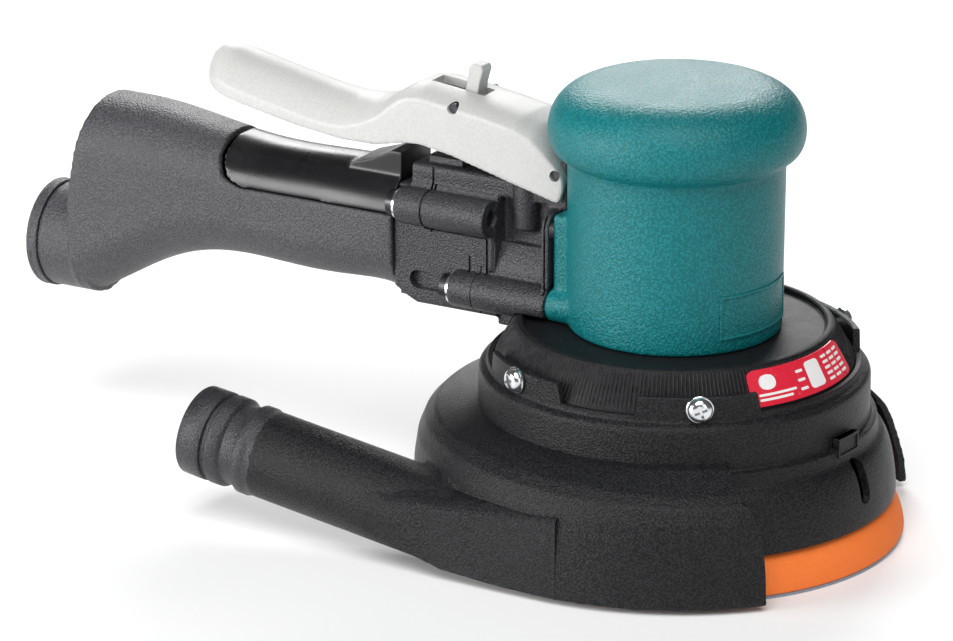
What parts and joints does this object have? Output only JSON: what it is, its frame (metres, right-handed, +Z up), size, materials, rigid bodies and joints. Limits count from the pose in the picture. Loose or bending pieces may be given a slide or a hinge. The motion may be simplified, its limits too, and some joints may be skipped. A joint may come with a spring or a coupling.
{
  "type": "orbital sander",
  "caption": "Two-hand air-driven orbital sander: palm housing, rear handle with throttle lever, round foam pad and vacuum shroud with side spigot.",
  "frame": {"origin": "where the motor axis meets the plane of the pad's abrasive face", "axes": "+Z up along the motor axis, handle towards -X, vacuum spigot on the -Y side, front of the pad towards +X"},
  "size_m": [0.3289, 0.1764, 0.1556],
  "materials": {
    "teal_shell": "pebbled soft-touch teal",
    "black_plastic": "fine-textured moulded black",
    "black_gloss": "satin moulded black",
    "black_casting": "black, finely ridged",
    "grey_plastic": "light grey moulded",
    "zinc": "bright zinc plate",
    "steel": "machined",
    "aluminium": "machined",
    "brass": "turned",
    "vane": "laminate",
    "rubber": "matt",
    "felt": "felt",
    "cover_plate": "black",
    "label": "printed red foil",
    "foam": "closed-cell orange foam",
    "hook": "short hook pile",
    "pad_plate": "glass-filled black"
  },
  "bodies": {
    "root": {"cylinder_liner": "steel", "lower_end_plate": "aluminium", "upper_end_plate": "aluminium", "lower_bearing": "steel", "upper_bearing": "steel", "motor_housing": "aluminium", "palm_housing": "teal_shell", "gear_case": "black_casting", "ring_gear": "steel", "dust_cover": "cover_plate", "label_plate": "label", "inner_shroud": "black_plastic", "shroud_screws": "zinc", "shroud_washers": "zinc", "outer_skirt": "black_plastic", "handle_core": "black_gloss", "handle_sleeve": "black_plastic", "exhaust_ring": "black_plastic", "exhaust_silencer": "felt", "inlet_bushing": "steel", "valve_body": "black_plastic", "handle_bolts": "zinc", "handle_bolt_washers": "zinc", "valve_seat": "brass", "stem_guide": "brass", "stem_seal": "rubber", "valve_plug": "brass", "valve_spring": "steel", "lever_pivot_pin": "steel"},
    "throttle": {"throttle_lever": "grey_plastic", "lock_pin": "steel"},
    "lock": {"lock_lever": "grey_plastic"},
    "plunger": {"valve_plunger": "steel"},
    "drive": {"crank_shaft": "steel", "counterweight": "steel", "rotor": "steel", "rotor_vanes": "vane", "spindle_bearings": "steel"},
    "pad": {"pad_spindle": "steel", "orbit_gear": "steel", "pad_screw": "steel", "backing_plate": "pad_plate", "foam_pad": "foam", "hook_face": "hook"}
  },
  "joints": [
    {"name": "throttle_press", "type": "hinge", "parent": "root", "child": "throttle", "pos_m": [-0.038, 0, 0.1205], "axis": [0, -1, 0], "range_deg": [0, 6.4], "stiffness_Nm_per_rad": 1.5, "springref_deg": -5.73},
    {"name": "lock_swing", "type": "hinge", "parent": "throttle", "child": "lock", "pos_m": [-0.0775, 0, 0.138], "axis": [0, -1, 0], "range_deg": [0, 25.7], "stiffness_Nm_per_rad": 0.01, "springref_deg": -11.46},
    {"name": "plunger_slide", "type": "slide", "parent": "root", "child": "plunger", "axis": [0, 0, -1], "range_m": [0, 0.0019], "stiffness_N_per_m": 400, "springref_m": -0.003, "deforming": ["valve_spring"]},
    {"name": "motor_spin", "type": "hinge", "parent": "root", "child": "drive", "pos_m": [0, 0, 0.05], "axis": [0, 0, 1], "continuous": true},
    {"name": "pad_spin", "type": "hinge", "parent": "drive", "child": "pad", "pos_m": [0.0024, 0, 0.03], "axis": [0, 0, 1], "continuous": true}
  ],
  "couplings": [
    {"joint": "lock_swing", "follows": "throttle_press", "ratio": 4},
    {"joint": "plunger_slide", "follows": "throttle_press", "m_per_rad": 0.0168},
    {"joint": "pad_spin", "follows": "motor_spin", "ratio": -1.0909}
  ]
}
